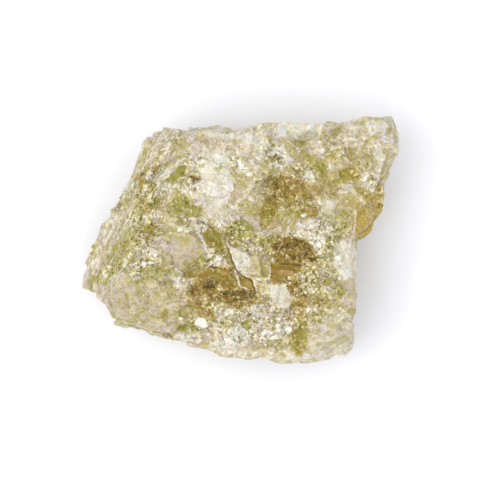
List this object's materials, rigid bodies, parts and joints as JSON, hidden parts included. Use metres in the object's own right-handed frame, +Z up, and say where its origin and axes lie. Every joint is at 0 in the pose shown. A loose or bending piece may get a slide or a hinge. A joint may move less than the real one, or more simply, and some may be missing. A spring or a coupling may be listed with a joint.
{
  "type": "bytownite specimen",
  "caption": "Broken hand specimen of pale granular feldspar with stained hollows, a striated flank and a horn, resting on a flat cleavage face.",
  "frame": {"origin": "middle of the stone's box seen from above, on the level of the flat face that it rests on", "axes": "+X from the pointed tip towards the horn, +Y towards the long straight rim, +Z up out of the crown"},
  "size_m": [0.0452, 0.0352, 0.018],
  "materials": {
    "feldspar": "broken, granular, cream to khaki with brown iron stains, small glassy cleavage faces"
  },
  "bodies": {
    "root": {"bytownite": "feldspar"}
  },
  "joints": []
}
